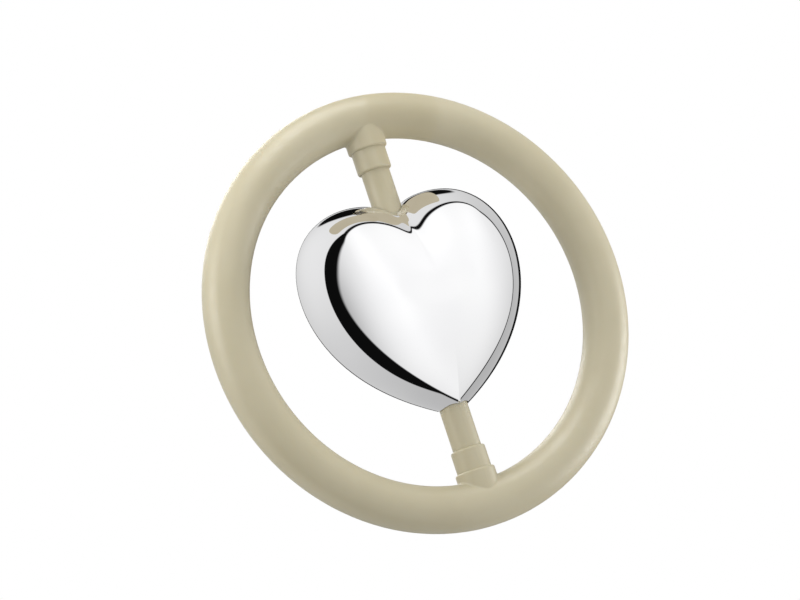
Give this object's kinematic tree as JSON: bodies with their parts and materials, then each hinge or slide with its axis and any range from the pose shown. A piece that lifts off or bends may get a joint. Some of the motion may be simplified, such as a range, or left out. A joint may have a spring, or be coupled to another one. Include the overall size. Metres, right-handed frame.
{
  "type": "baby rattle",
  "caption": "Ring-shaped infant rattle: a hollow polished heart turns on an axle across an ivory plastic ring.",
  "frame": {"origin": "centre of the ring, on its middle plane", "axes": "+Z along the ring's axis to the front of the heart, +Y along the axle to the heart's notch, X across"},
  "size_m": [0.076, 0.076, 0.02],
  "materials": {
    "ivory_plastic": "satin",
    "polished_silver": "mirror polished",
    "inner_brass": "drawn and soldered",
    "pellet_steel": "tumbled"
  },
  "bodies": {
    "ring": {"ring_front_shell": "ivory_plastic", "ring_back_shell": "ivory_plastic", "upper_axle_stub": "ivory_plastic", "lower_axle_stub": "ivory_plastic"},
    "heart": {"heart_front_shell": "polished_silver", "heart_back_shell": "polished_silver", "left_seam_band": "inner_brass", "right_seam_band": "inner_brass", "bearing_tube": "inner_brass", "upper_bulkhead": "inner_brass", "lower_bulkhead": "inner_brass"},
    "pellet_1": {"pellet_1": "pellet_steel"},
    "pellet_2": {"pellet_2": "pellet_steel"},
    "pellet_3": {"pellet_3": "pellet_steel"},
    "pellet_4": {"pellet_4": "pellet_steel"},
    "pellet_5": {"pellet_5": "pellet_steel"},
    "pellet_6": {"pellet_6": "pellet_steel"}
  },
  "joints": [
    {"name": "heart_spin", "type": "hinge", "parent": "ring", "child": "heart", "pos_m": [0, 0, 0], "axis": [0, 1, 0], "continuous": true},
    {"name": "pellet_1_slide", "type": "slide", "parent": "heart", "child": "pellet_1", "axis": [0, 0, 1], "range_m": [0, 0.0135]},
    {"name": "pellet_2_slide", "type": "slide", "parent": "heart", "child": "pellet_2", "axis": [0, 0, 1], "range_m": [0, 0.01214]},
    {"name": "pellet_3_slide", "type": "slide", "parent": "heart", "child": "pellet_3", "axis": [0, 0, 1], "range_m": [0, 0.01175]},
    {"name": "pellet_4_slide", "type": "slide", "parent": "heart", "child": "pellet_4", "axis": [0, 0, 1], "range_m": [0, 0.01372]},
    {"name": "pellet_5_slide", "type": "slide", "parent": "heart", "child": "pellet_5", "axis": [0, 0, 1], "range_m": [0, 0.01226]},
    {"name": "pellet_6_slide", "type": "slide", "parent": "heart", "child": "pellet_6", "axis": [0, 0, 1], "range_m": [0, 0.01127]}
  ]
}
